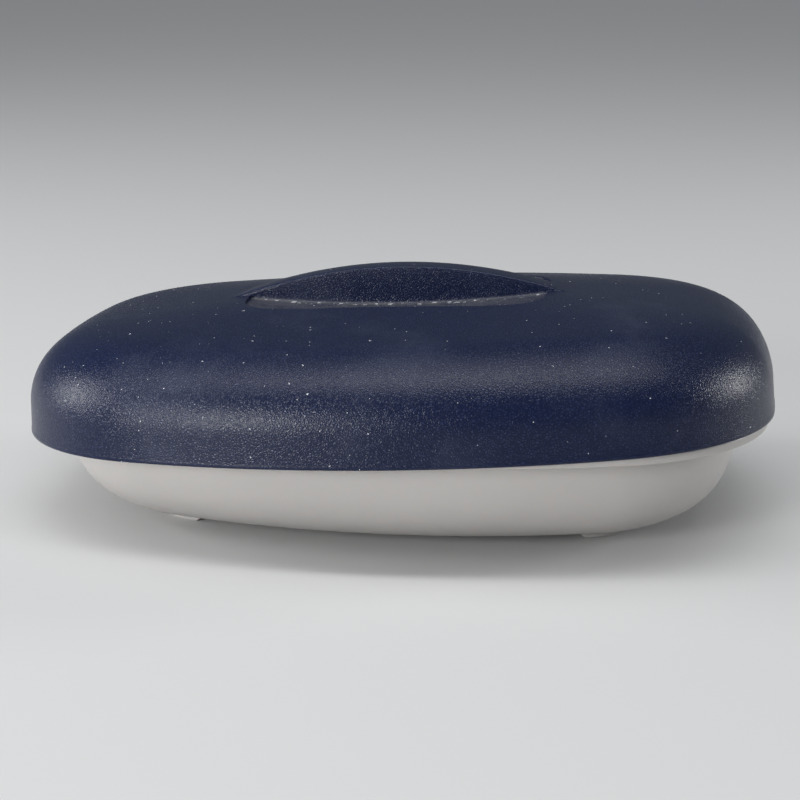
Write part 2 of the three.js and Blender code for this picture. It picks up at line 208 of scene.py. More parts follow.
def corner_arc():
    """Centre and span of the corner arc that is tangent to the end arc and to the side arc."""
    end = Vector((HALF_LENGTH - END_RADIUS, 0))
    side = Vector((0, HALF_WIDTH - SIDE_RADIUS))
    end_reach = END_RADIUS - CORNER_RADIUS
    side_reach = SIDE_RADIUS - CORNER_RADIUS
    across = side - end
    gap = across.length
    along = (end_reach**2 - side_reach**2 + gap**2) / (2 * gap)
    across.normalize()
    off = math.sqrt(end_reach**2 - along**2)
    centre = end + across * along + Vector((-across.y, across.x)) * off
    start = math.atan2(centre.y - end.y, centre.x - end.x)
    stop = math.atan2(centre.y - side.y, centre.x - side.x)
    return centre, start, stop


CORNER, CORNER_FROM, CORNER_TO = corner_arc()


def stations():
    """Arc centre, radius and angle of each outline point, anticlockwise from the right end's middle."""
    strip_angle = math.asin(BAR_HALF_WIDTH / (END_RADIUS - DECK_INSET))
    end = (HALF_LENGTH - END_RADIUS, 0.0)
    side = (0.0, HALF_WIDTH - SIDE_RADIUS)
    spans = [
        (end, END_RADIUS, 0.0, strip_angle, STRIP_STEPS),
        (end, END_RADIUS, strip_angle, CORNER_FROM, END_STEPS),
        (tuple(CORNER), CORNER_RADIUS, CORNER_FROM, CORNER_TO, CORNER_STEPS),
        (side, SIDE_RADIUS, CORNER_TO, math.pi / 2, SIDE_STEPS),
    ]
    quarter = [
        (cx, cy, radius, start + (stop - start) * i / steps)
        for (cx, cy), radius, start, stop, steps in spans
        for i in range(steps)
    ]
    quarter.append((*side, SIDE_RADIUS, math.pi / 2))
    upper = quarter + [(-cx, cy, r, math.pi - a) for cx, cy, r, a in reversed(quarter[:-1])]
    lower = [(cx, -cy, r, -a) for cx, cy, r, a in reversed(upper[1:-1])]
    return np.array(upper + lower)


STATIONS = stations()
COUNT = len(STATIONS)


def outline(inset):
    """The closed outline in plan, drawn in by an inset."""
    cx, cy, radius, angle = STATIONS.T
    return np.stack([cx + (radius - inset) * np.cos(angle), cy + (radius - inset) * np.sin(angle)], 1)


def corner_point(direction, inset):
    """The outline's point whose corner faces a direction."""
    signs = Vector((math.copysign(1, math.cos(direction)), math.copysign(1, math.sin(direction))))
    reach = Vector((math.cos(direction), math.sin(direction))) * (CORNER_RADIUS - inset)
    return Vector((CORNER.x * signs.x, CORNER.y * signs.y)) + reach


# ---------------------------------------------------------------- meshes


def rounded(path, steps=5):
    """A profile whose corners are turned into arcs. An entry is (inset, z, corner radius)."""
    points = []
    for i, (u, z, radius) in enumerate(path):
        here = Vector((u, z))
        if radius == 0:
            points.append((u, z))
            continue
        before = (Vector(path[i - 1][:2]) - here).normalized()
        after = (Vector(path[(i + 1) % len(path)][:2]) - here).normalized()
        half = before.angle(after) / 2
        centre = here + (before + after).normalized() * radius / math.sin(half)
        start = here + before * radius / math.tan(half) - centre
        stop = here + after * radius / math.tan(half) - centre
        for k in range(steps + 1):
            points.append(tuple(centre + start.lerp(stop, k / steps).normalized() * radius))
    return points


def rings(profile):
    """Rows of points around the box, one for each [inset, z] or [inset, z, scale] of a profile."""
    made = []
    for inset, z, *scale in profile:
        ring = outline(inset) * (scale[0] if scale else 1.0)
        made.append(np.column_stack([ring, np.full(COUNT, z)]))
    return np.array(made)


def cap(inset, z):
    """Profile entries of a flat disc, from the outline at an inset to the middle."""
    return [(inset, z, 1 - k / CAP_STEPS) for k in range(1, CAP_STEPS + 1)]


class Builder:
    """Collects grids of points and turns them into one welded, smooth-shaded object."""

    def __init__(self):
        self.bm = bmesh.new()
        self.plain = self.bm.verts.layers.float.new("plain")
        self.dusty = self.bm.verts.layers.float.new("dusty")

    def grid(self, rows, closed_rows=False, closed_columns=False, plain=None, dusty=None):
        """Adds a grid of quads.

        plain and dusty say, row by row, how much the moulded grain is missing and how much dust lies.
        """
        verts = []
        for r, row in enumerate(rows):
            line = [self.bm.verts.new(p) for p in row]
            for v in line:
                v[self.plain] = 0.0 if plain is None else float(plain[r])
                v[self.dusty] = 0.0 if dusty is None else float(dusty[r])
            verts.append(line)
        high = len(verts) if closed_rows else len(verts) - 1
        wide = len(verts[0]) if closed_columns else len(verts[0]) - 1
        for r in range(high):
            one, two = verts[r], verts[(r + 1) % len(verts)]
            for c in range(wide):
                d = (c + 1) % len(one)
                self.bm.faces.new((one[c], one[d], two[d], two[c]))
        return self

    def finish(self, name, body, node, slot, place=None):
        """Welds, scales to metres, moves by a matrix, and rides on a body in a CAD node's stead."""
        bm = self.bm
        bmesh.ops.remove_doubles(bm, verts=bm.verts[:], dist=WELD)
        bmesh.ops.dissolve_degenerate(bm, edges=bm.edges[:], dist=WELD / 2)
        loose = [v for v in bm.verts if not v.link_faces]
        bmesh.ops.delete(bm, geom=loose, context="VERTS")
        bmesh.ops.recalc_face_normals(bm, faces=bm.faces[:])
        bmesh.ops.scale(bm, vec=(MM, MM, MM), verts=bm.verts[:])
        if place:
            bmesh.ops.transform(bm, matrix=place, verts=bm.verts[:])
        for face in bm.faces:
            face.smooth = True
        mesh = bpy.data.meshes.new(name)
        bm.to_mesh(mesh)
        bm.free()
        piece = bpy.data.objects.new(name, mesh)
        bpy.context.scene.collection.objects.link(piece)
        piece.modifiers.new("weighted_normals", "WEIGHTED_NORMAL").keep_sharp = True
        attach(piece, body)
        if node:
            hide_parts(node)


# Both lids are drawn pressed home, then turned up about the peel hinge to where they rest.
PEEL = next(joint for joint in frame["joints"] if joint["name"] == "inner_lid_peel")
PIVOT = Vector(PEEL["pos_m"])
REST_TILT = math.radians(-PEEL["range_deg"][0])
CROOKED = (
    Matrix.Translation(PIVOT)
    @ Matrix.Rotation(REST_TILT, 4, Vector(PEEL["axis"]).normalized())
    @ Matrix.Translation(-PIVOT)
)
LID_PLACE = CROOKED @ Matrix.Translation((0, 0, LID_SEAT * MM))


# ---------------------------------------------------------------- bowl and feet


def bowl_curve(inset, top, bottom):
    """A skin of the bowl, a superellipse from its top down to its flat bottom."""
    width = BOWL_INSET + BOWL_CURVE_INSET - inset
    points = []
    for i in range(BOWL_STEPS + 1):
        angle = math.pi / 2 * i / BOWL_STEPS
        across = 0 if i == BOWL_STEPS else math.cos(angle) ** (2 / BOWL_CURVE)
        down = math.sin(angle) ** (2 / BOWL_CURVE)
        points.append((inset + width * (1 - across), top - (top - bottom) * down))
    return points


def base_bowl():
    """The bowl's outer skin, its flange and its inner skin, as one profile around the outline."""
    middle = BOWL_INSET + BOWL_CURVE_INSET
    under = RIM_TOP - FLANGE_THICKNESS
    outer = bowl_curve(BOWL_INSET, under - FLANGE_ROOT_ROUNDING, BOWL_UNDERSIDE)
    flange = rounded(
        [
            (BOWL_INSET, BOWL_UNDERSIDE, 0),
            (BOWL_INSET, under, FLANGE_ROOT_ROUNDING),
            (FLANGE_INSET, under, FLANGE_LOWER_ROUNDING),
            (FLANGE_INSET, RIM_TOP, FLANGE_UPPER_ROUNDING),
            (MOUTH_INSET, RIM_TOP, MOUTH_ROUNDING),
            (MOUTH_INSET, BOWL_FLOOR, 0),
        ]
    )[1:-1]
    inner = bowl_curve(MOUTH_INSET, RIM_TOP - MOUTH_ROUNDING, BOWL_FLOOR)
    profile = cap(middle, BOWL_UNDERSIDE)[::-1] + outer[::-1] + flange + inner + cap(middle, BOWL_FLOOR)
    builder = Builder().grid(rings(profile), closed_columns=True)
    builder.finish("bowl_shell", "bowl", "base_bowl", "bowl_white")


def bowl_feet(steps=28):
    """Four arc-shaped feet. Their ends slant up into the bowl's underside."""
    builder = Builder()
    outer = CORNER_RADIUS - FOOT_INSET
    ends = FOOT_ROOT / outer
    section = rounded(
        [
            (0.0, FOOT_ROOT, 0),
            (FOOT_DRAFT, 0.0, FOOT_ROUNDING),
            (FOOT_WIDTH - FOOT_DRAFT, 0.0, FOOT_ROUNDING),
            (FOOT_WIDTH, FOOT_ROOT, 0),
        ]
    )
    for sign_x in (1, -1):
        for sign_y in (1, -1):
            rows = []
            for i in range(steps + 1):
                share = i / steps
                angle = FOOT_FROM + (FOOT_TO - FOOT_FROM) * share
                near_end = min(angle - FOOT_FROM, FOOT_TO - angle) / ends
                lift = FOOT_END_LIFT * max(0.0, 1 - near_end) ** FOOT_END_CURVE
                row = []
                for u, z in section:
                    x = CORNER.x + (outer - u) * math.cos(angle)
                    y = CORNER.y + (outer - u) * math.sin(angle)
                    height = z + lift * (1 - z / FOOT_ROOT)
                    row.append((x * sign_x, y * sign_y, height))
                rows.append(row)
            rows = np.array(rows)
            builder.grid(rows, closed_columns=True)
            for end_row in (rows[0], rows[-1]):
                half = len(end_row) // 2
                builder.grid([end_row[:half], end_row[::-1][:half]])
    builder.finish("bowl_feet", "bowl", None, "bowl_white")


# ---------------------------------------------------------------- dividers


def wall_inset(z):
    """How far the bowl's inner wall stands in from the lid's outline at a height."""
    top = RIM_TOP - MOUTH_ROUNDING
    sine = ((top - z) / (top - BOWL_FLOOR)) ** (BOWL_CURVE / 2)
    cosine = math.sqrt(1 - sine**2)
    return MOUTH_INSET + (BOWL_CURVE_INSET - BOWL_WALL) * (1 - cosine ** (2 / BOWL_CURVE))


def divider(name, half_span, slots_up, slots_down, place, body, steps=24):
    """A thin wall that fits the bowl, with half-lap slots, and all its edges softened."""
    side = []
    for i in range(steps + 1):
        share = 1 - math.cos(math.pi / 2 * i / steps)
        z = BOWL_FLOOR + (DIVIDER_TOP - DIVIDER_CLEARANCE - BOWL_FLOOR) * share
        side.append((half_span(wall_inset(z)) - DIVIDER_CLEARANCE, z + DIVIDER_CLEARANCE))
    top_z = side[-1][1]
    bottom_z = side[0][1]

    def notch(near_x, far_x, edge_z, end_z):
        return [(near_x, edge_z), (near_x, end_z), (far_x, end_z), (far_x, edge_z)]

    half_slot = DIVIDER_THICKNESS / 2 + LAP_CLEARANCE
    loop = list(side)
    for x in sorted(slots_up, reverse=True):
        loop += notch(x + half_slot, x - half_slot, top_z, LAP_Z)
    loop += [(-x, z) for x, z in reversed(side)]
    for x in sorted(slots_down):
        loop += notch(x - half_slot, x + half_slot, bottom_z, LAP_Z + LAP_CLEARANCE)
    builder = Builder()
    bm = builder.bm
    half = DIVIDER_THICKNESS / 2
    front = [bm.verts.new((x, -half, z)) for x, z in loop]
    back = [bm.verts.new((x, half, z)) for x, z in loop]
    bm.faces.new(front)
    bm.faces.new(back[::-1])
    for i in range(len(loop)):
        j = (i + 1) % len(loop)
        bm.faces.new((front[i], back[i], back[j], front[j]))
    bmesh.ops.bevel(
        bm,
        geom=[e for e in bm.edges if e.verts[0].co.y == e.verts[1].co.y],
        offset=DIVIDER_ROUNDING,
        segments=3,
        profile=0.5,
        affect="EDGES",
        clamp_overlap=True,
    )
    builder.finish(name + "_wall", body, name, "divider_white", place)


def dividers():
    """One long wall, and two cross walls that hook over it."""

    def half_length(inset):
        return HALF_LENGTH - inset

    def half_width(inset):
        reach_x = CROSS_DIVIDER_X + DIVIDER_THICKNESS / 2
        return HALF_WIDTH - SIDE_RADIUS + math.sqrt((SIDE_RADIUS - inset) ** 2 - reach_x**2)

    divider("divider_long", half_length, (-CROSS_DIVIDER_X, CROSS_DIVIDER_X), (), None, "divider_long")
    for side, x in (("left", -CROSS_DIVIDER_X), ("right", CROSS_DIVIDER_X)):
        place = Matrix.Translation((x * MM, 0, 0)) @ Matrix.Rotation(math.pi / 2, 4, "Z")
        name = "divider_cross_" + side
        divider(name, half_width, (), (0.0,), place, name)


# ---------------------------------------------------------------- inner lid


def circle_rows(entries, steps=48):
    """Rows of points around the Z axis, one for each (radius, z)."""
    angles = np.linspace(0, 2 * math.pi, steps, endpoint=False)
    return np.array([[(r * math.cos(a), r * math.sin(a), z) for a in angles] for r, z in entries])


def to_hole(inset, z, radius, steps=14):
    """Level rows from the outline at an inset in to a round hole in the middle."""
    ring = outline(inset)
    angle = np.arctan2(ring[:, 1], ring[:, 0])
    hole = np.stack([np.cos(angle), np.sin(angle)], 1) * radius
    rows = []
    for k in range(1, steps + 1):
        share = k / steps
        rows.append(np.column_stack([ring * (1 - share) + hole * share, np.full(COUNT, z)]))
    return rows


def inner_lid():
    """A rim with a groove for the seal, around a sunk panel with the vent's hole."""
    groove_in = SEAL_INSET + SEAL_WIDTH + SEAL_GAP
    groove_out = SEAL_INSET - SEAL_GAP
    under_edge = PLUG_BOTTOM + PANEL_FLAT
    over_edge = under_edge + INNER_WALL
    profile = rounded(
        [
            (under_edge, PANEL_UNDERSIDE, 0),
            (PLUG_BOTTOM, PANEL_UNDERSIDE, 0.6),
            (PLUG_INSET, INNER_RIM_Z, 0.5),
            (groove_in, INNER_RIM_Z, GROOVE_ROUNDING),
            (groove_in, GROOVE_TOP, GROOVE_ROUNDING),
            (groove_out, GROOVE_TOP, GROOVE_ROUNDING),
            (groove_out, INNER_RIM_Z, GROOVE_ROUNDING),
            (INNER_RIM_INSET, INNER_RIM_Z, 0.4),
            (INNER_RIM_INSET, INNER_RIM_TOP, 0.7),
            (PLUG_INSET + INNER_WALL, INNER_RIM_TOP, 0.7),
            (PLUG_BOTTOM + INNER_WALL, PANEL_TOP, 0.6),
            (over_edge, PANEL_TOP, 0),
        ],
        steps=3,
    )
    under = to_hole(under_edge, PANEL_UNDERSIDE, VENT_HOLE_RADIUS)[::-1]
    over = to_hole(over_edge, PANEL_TOP, VENT_HOLE_RADIUS)
    rows = [*under, *rings(profile), *over]
    builder = Builder().grid(rows, closed_rows=True, closed_columns=True)
    pull_tab(builder)
    builder.finish("inner_lid_panel", "inner_lid", "inner_lid", "inner_milky", CROOKED)


def pull_tab(builder, steps=20):
    """A soft tongue that stands on the rim at the front right corner and leans inwards."""
    direction = math.atan2(PEEL["axis"][0], -PEEL["axis"][1])
    foot = corner_point(direction, TAB_INSET)
    facing = Matrix.Rotation(direction - math.pi / 2, 4, "Z")
    lean = Matrix.Rotation(TAB_LEAN, 4, "X")
    place = Matrix.Translation((foot.x, foot.y, INNER_RIM_TOP)) @ facing @ lean
    corners = ((TAB_BEVEL, 0.0), (0.0, TAB_BEVEL), (0.0, INNER_WALL - TAB_BEVEL), (TAB_BEVEL, INNER_WALL))
    rows = []
    for inset, y in corners:
        row = []
        for i in range(steps + 1):
            angle = math.pi * i / steps
            x = (TAB_HALF_WIDTH - inset) * math.cos(angle)
            z = (TAB_HEIGHT - inset) * math.sin(angle)
            row.append(place @ Vector((x, y, z)))
        row.append(place @ Vector((-(TAB_HALF_WIDTH - inset), y, -INNER_WALL)))
        row.append(place @ Vector((TAB_HALF_WIDTH - inset, y, -INNER_WALL)))
        rows.append(row)
    builder.grid(rows, closed_columns=True)
    for row in (rows[0], rows[-1]):
        arc, (low_left, low_right) = row[:-2], row[-2:]
        half = len(arc) // 2
        left = arc[half:] + [low_left]
        right = arc[: half + 1][::-1] + [low_right]
        builder.grid([left, right])


def seal_ring():
    """A soft band of rectangular section in the inner lid's groove."""
    low = RIM_TOP + SEAL_GAP
    high = low + SEAL_THICKNESS
    inner = SEAL_INSET + SEAL_WIDTH
    corners = [(SEAL_INSET, low), (inner, low), (inner, high), (SEAL_INSET, high)]
    profile = rounded([(u, z, SEAL_ROUNDING) for u, z in corners], steps=4)
    builder = Builder().grid(rings(profile), closed_rows=True, closed_columns=True)
    builder.finish("seal_band", "inner_lid", "seal_ring", "silicone", CROOKED)


def vent_plug():
    """A stem through the panel under a low chamfered head."""
    head = PANEL_TOP + SEAL_GAP
    tip = PANEL_UNDERSIDE - INNER_WALL
    near_axis = 0.01
    profile = rounded(
        [
            (near_axis, tip, 0),
            (VENT_STEM_RADIUS, tip, 0.5),
            (VENT_STEM_RADIUS, head, 0.2),
            (VENT_HEAD_RADIUS, head, 0.3),
            (VENT_HEAD_RADIUS, head + VENT_STRAIGHT_HEIGHT, 0.4),
            (VENT_CHAMFER_RADIUS, head + VENT_CHAMFER_HEIGHT, 0.8),
            (VENT_STEM_RADIUS, head + VENT_HEAD_HEIGHT, 0.9),
            (near_axis, head + VENT_HEAD_HEIGHT, 0),
        ],
        steps=4,
    )
    rows = circle_rows(profile)
    rows[0][:, :2] = 0
    rows[-1][:, :2] = 0
    builder = Builder().grid(rows, closed_columns=True)
    builder.finish("vent_stopper", "vent_plug", "vent_plug", "silicone", CROOKED)


# ---------------------------------------------------------------- outer lid


def shoulder_rise(depth):
    """Height of the lid's shoulder above the skirt at a distance in from the skirt's top."""
    curve = SHOULDER_HEIGHT * (1 - (1 - depth / SHOULDER_WIDTH) ** SHOULDER_CURVE) ** (1 / SHOULDER_CURVE)
    ramp = math.log1p(math.exp((depth - DECK_SLOPE_FROM) / DECK_SLOPE_BLEND))
    return curve + DECK_SLOPE * DECK_SLOPE_BLEND * ramp


DECK_Z = SKIRT_HEIGHT + shoulder_rise(SHOULDER_WIDTH)


def polar(points):
    """Angle and distance from the middle of some points, in the order of the angle."""
    angle = np.arctan2(points[:, 1], points[:, 0]) % (2 * math.pi)
    order = np.argsort(angle)
    return angle[order], np.hypot(points[:, 0], points[:, 1])[order]


DECK_ANGLES, DECK_RADII = polar(outline(DECK_INSET))


def deck_z(x, y):
    """Height of the crowned deck, lowest where it meets the shoulder."""
    reach = np.interp(np.arctan2(y, x) % (2 * math.pi), DECK_ANGLES, DECK_RADII, period=2 * math.pi)
    return DECK_Z + CROWN * (1 - (np.hypot(x, y) / reach) ** CROWN_CURVE)


def smoothstep(value):
    t = np.clip(value, 0, 1)
    return t * t * (3 - 2 * t)


def lengths(points):
    """How far along a line of points each of them lies."""
    return np.concatenate([[0], np.cumsum(np.hypot(*np.diff(points, axis=0).T))])


def resample(points, shares):
    """Points at given shares of the way along a line."""
    travelled = lengths(points)
    travelled /= travelled[-1]
    return np.stack([np.interp(shares, travelled, points[:, k]) for k in (0, 1)], 1)


# Rows from a scoop's lip out to the deck's edge, as shares of the way, closest near the lip.
DECK_DISTANCES = np.array([0, 0.5, 1, 1.6, 2.3, 3.1, 4, 5.2, 6.8, 9, 12, 16, 21, 27, 33, 39.7])
DECK_ROWS = DECK_DISTANCES / DECK_DISTANCES[-1]


def bar_section(half_width, foot_z, top_z):
    """Cross-section of half the bar, from the middle of its top down to its foot."""
    radius = min(CREST_ROUNDING, CREST_SHARE * (top_z - foot_z))
    flat = half_width - radius
    crest_shares = [k / CREST_STEPS for k in range(CREST_STEPS)]
    points = [(flat * share, top_z - CREST_DROP * share**2) for share in crest_shares]
    for share in ARC_SHARES:
        angle = math.pi / 2 * share
        y = flat + radius * math.sin(angle)
        points.append((y, top_z - CREST_DROP - radius + radius * math.cos(angle)))
    low = points[-1][1]
    for k in range(1, BAR_SIDE_STEPS + 1):
        points.append((half_width, low + (foot_z - low) * k / BAR_SIDE_STEPS))
    return points


class Deck:
    """The deck, its two finger scoops and the bar between them.

    A wall sinks it all by its thickness, to make the lid's underside.
    """

    def __init__(self, wall):
        self.wall = wall
        self.bar_half = BAR_HALF_WIDTH - wall
        self.edge = outline(DECK_INSET)
        self.edge_back = self.edge[STRIP_STEPS : COUNT // 2 - STRIP_STEPS + 1]
        self.columns = len(self.edge_back)
        self.ends = np.zeros(self.columns, bool)
        self.ends[[0, -1]] = True
        edge_length = lengths(self.edge_back)
        shares = edge_length / edge_length[-1]
        self.trace_lip(shares)
        self.place_bar(shares)

    def floor(self, x):
        return SCOOP_FLOOR - self.wall + SCOOP_FLOOR_RISE * (x / SCOOP_HALF_LENGTH) ** 2

    def crest(self, x):
        return BAR_TOP - self.wall - BAR_TOP_DROP * (x / SCOOP_HALF_LENGTH) ** 2

    def deck(self, x, y):
        return deck_z(x, y) - self.wall

    def trace_lip(self, shares):
        """The back scoop's lip, which way is out from it, and how it fades in from the bar's ends."""
        half_size = np.array([SCOOP_HALF_LENGTH + self.wall, SCOOP_HALF_WIDTH + self.wall])
        power = 2 / SCOOP_SQUARENESS
        corner = math.asin((self.bar_half / half_size[1]) ** (1 / power))
        t = np.linspace(corner, math.pi - corner, OVAL_STEPS + 1)
        oval_x = half_size[0] * np.sign(np.cos(t)) * np.abs(np.cos(t)) ** power
        oval_y = half_size[1] * np.sin(t) ** power
        lip = resample(np.stack([oval_x, oval_y], 1), shares)
        lip[self.ends, 1] = self.bar_half
        normal = (np.abs(lip) / half_size) ** (SCOOP_SQUARENESS - 1) * np.sign(lip) / half_size
        lip_length = lengths(lip)
        from_end = np.minimum(lip_length, lip_length[-1] - lip_length)
        self.lip = lip
        self.normal = normal / np.linalg.norm(normal, axis=1)[:, None]
        self.ramp = smoothstep(from_end / SCOOP_END_FADE)[:, None]

    def place_bar(self, shares):
        """Where along the bar its cross-sections stand, and the lines of points that run over it."""
        inner_foot = self.lip - self.normal * FILLET_RADIUS * self.ramp
        self.end_x = self.lip[0, 0]
        even_x = self.end_x * (1 - 2 * shares)
        self.bar_x = BAR_FOLLOWS_OUTLINE * inner_foot[:, 0] + BAR_FOLLOWS_SPACING * even_x
        foot_z = self.floor(self.bar_x) + BAR_FILLET_RADIUS * self.ramp[:, 0]
        foot_z[self.ends] = self.deck(self.end_x, self.bar_half)
        half = []
        for x, low in zip(self.bar_x, foot_z):
            half.append([(x, y, z) for y, z in bar_section(self.bar_half, low, self.crest(x))])
        half = np.array(half)
        self.bar_lines = np.concatenate([half[:, ::-1] * (1, -1, 1), half[:, 1:]], 1)

    def build(self, builder):
        builder.grid(self.bar_lines, plain=[BAR_PLAIN] * self.columns)
        self.build_scoops(builder)
        self.build_end_strips(builder)

    def build_scoops(self, builder):
        """Foot fillet, floor, wall fillet, wall and lip of both scoops, and the deck beyond them."""
        lip = self.lip
        lip_z = self.deck(*lip.T)
        wall_height = np.where(self.ends, 0, lip_z - self.floor(lip[:, 0]))
        bar_fillet = BAR_FILLET_RADIUS * self.ramp
        wall_fillet = np.minimum(FILLET_RADIUS, FILLET_SHARE * wall_height)[:, None] * self.ramp
        lip_round = np.minimum(LIP_ROUNDING, LIP_SHARE * wall_height)[:, None] * self.ramp
        rows = []
        plain = []
        dusty = []

        def add(xy, z, smooth, dust=0.0):
            points = np.column_stack([xy, z])
            points[self.ends] = np.column_stack([lip, lip_z])[self.ends]
            rows.append(points)
            plain.append(smooth)
            dusty.append(dust)

        start = np.column_stack([self.bar_x, np.full(self.columns, self.bar_half)])
        for share in ARC_SHARES:
            angle = math.pi / 2 * share
            xy = start + np.array([0, 1]) * bar_fillet * (1 - math.cos(angle))
            z = self.floor(xy[:, 0]) + bar_fillet[:, 0] * (1 - math.sin(angle))
            add(xy, z, share, share)
        begin = rows[-1][:, :2].copy()
        begin[self.ends] = lip[self.ends]
        stop = lip - self.normal * wall_fillet
        for k in range(1, FLOOR_STEPS):
            xy = begin + (stop - begin) * k / FLOOR_STEPS
            add(xy, self.floor(xy[:, 0]), 1, DUST_AT_BAR - DUST_LOSS * k / FLOOR_STEPS)
        for share in ARC_SHARES:
            angle = math.pi / 2 * share
            xy = stop + self.normal * wall_fillet * math.sin(angle)
            z = self.floor(xy[:, 0]) + wall_fillet[:, 0] * (1 - math.cos(angle))
            add(xy, z, 1 - FILLET_PLAIN_LOSS * share)
        low = rows[-1][:, 2].copy()
        high = lip_z - lip_round[:, 0]
        for k in range(1, WALL_STEPS):
            add(lip, low + (high - low) * k / WALL_STEPS, WALL_PLAIN)
        deck_start = lip + self.normal * lip_round
        top = self.deck(*deck_start.T)
        for share in ARC_SHARES:
            angle = math.pi / 2 * share
            xy = lip + self.normal * lip_round * (1 - math.cos(angle))
            add(xy, top - lip_round[:, 0] * (1 - math.sin(angle)), 0)
        deck_start[self.ends] = lip[self.ends]
        for share in DECK_ROWS[1:]:
            xy = deck_start + (self.edge_back - deck_start) * share
            rows.append(np.column_stack([xy, self.deck(*xy.T)]))
            plain.append(0)
            dusty.append(0)
        if self.wall:
            plain = [1] * len(rows)
            dusty = [0] * len(rows)
        for mirror in ((1, 1, 1), (1, -1, 1)):
            builder.grid(np.array(rows) * mirror, plain=plain, dusty=dusty)

    def build_end_strips(self, builder):
        """Strips from the bar's ends to the ends of the deck, in which the bar sinks into the deck."""
        strip_edge = np.concatenate([self.edge[-STRIP_STEPS:], self.edge[: STRIP_STEPS + 1]])
        for sign, column in ((1, 0), (-1, -1)):
            start_line = self.bar_lines[column]
            share_up = (start_line[:, 2] - start_line[0, 2]) / np.ptp(start_line[:, 2])
            strip = [start_line]
            for share in DECK_ROWS[1:]:
                x = self.end_x + (strip_edge[:, 0] - self.end_x) * share
                y = start_line[:, 1] + (strip_edge[:, 1] - start_line[:, 1]) * share
                above = self.crest(x) - self.deck(x, 0)
                soft = 0.5 * (above + np.sqrt(above**2 + BAR_SOFTNESS))
                soft = soft * smoothstep((self.end_x + BAR_FADE - x) / BAR_FADE)
                strip.append(np.column_stack([sign * x, y, self.deck(x, y) + share_up * soft]))
            builder.grid(np.array(strip))


def lid_skin(builder):
    """Both sides of the deck, and the shoulder and skirt around them down to the ledge inside."""
    for wall in (0.0, LID_WALL):
        Deck(wall).build(builder)
    turns = [math.pi / 2 * (1 - k / SHOULDER_STEPS) for k in range(SHOULDER_STEPS + 1)]
    depths = [SHOULDER_WIDTH * (1 - math.cos(turn)) for turn in turns]
    strip_inset = SKIRT_DRAFT * EDGE_STRIP / SKIRT_HEIGHT
    ledge_end = LEDGE_INSET + LEDGE_WIDTH
    ledge_top = LEDGE_Z + LEDGE_HEIGHT
    outer = [(SKIRT_DRAFT + d, SKIRT_HEIGHT + shoulder_rise(d)) for d in depths]
    skirt = rounded(
        [
            (SKIRT_DRAFT, SKIRT_HEIGHT, 0),
            (strip_inset + EDGE_STRIP_STEP, EDGE_STRIP + EDGE_STRIP_BLEND, 0),
            (strip_inset, EDGE_STRIP - EDGE_STRIP_BLEND, 0),
            (0.0, 0.0, 0.45),
            (SKIRT_WALL, 0.0, 0.4),
            (SKIRT_WALL, RIM_TOP - LID_SEAT, 0.5),
            (LEDGE_INSET, LEDGE_Z, 0.2),
            (ledge_end, LEDGE_Z, 0.2),
            (ledge_end, ledge_top, 0),
        ],
        steps=4,
    )
    width = DECK_INSET - ledge_end
    height = DECK_Z - LID_WALL - ledge_top
    rise = shoulder_rise(SHOULDER_WIDTH)
    inner = [
        (ledge_end + width * d / SHOULDER_WIDTH, ledge_top + height * shoulder_rise(d) / rise)
        for d in reversed(depths)
    ]
    profile = outer + skirt[1:-1] + inner
    grained = len(outer) + 2
    plain = [0] * grained + [1] * (len(profile) - grained)
    builder.grid(rings(profile), closed_columns=True, plain=plain)


def outer_lid():
    builder = Builder()
    lid_skin(builder)
    builder.finish("lid_cover", "outer_lid", "lid_shell", "lid_navy", LID_PLACE)


# ---------------------------------------------------------------- materials


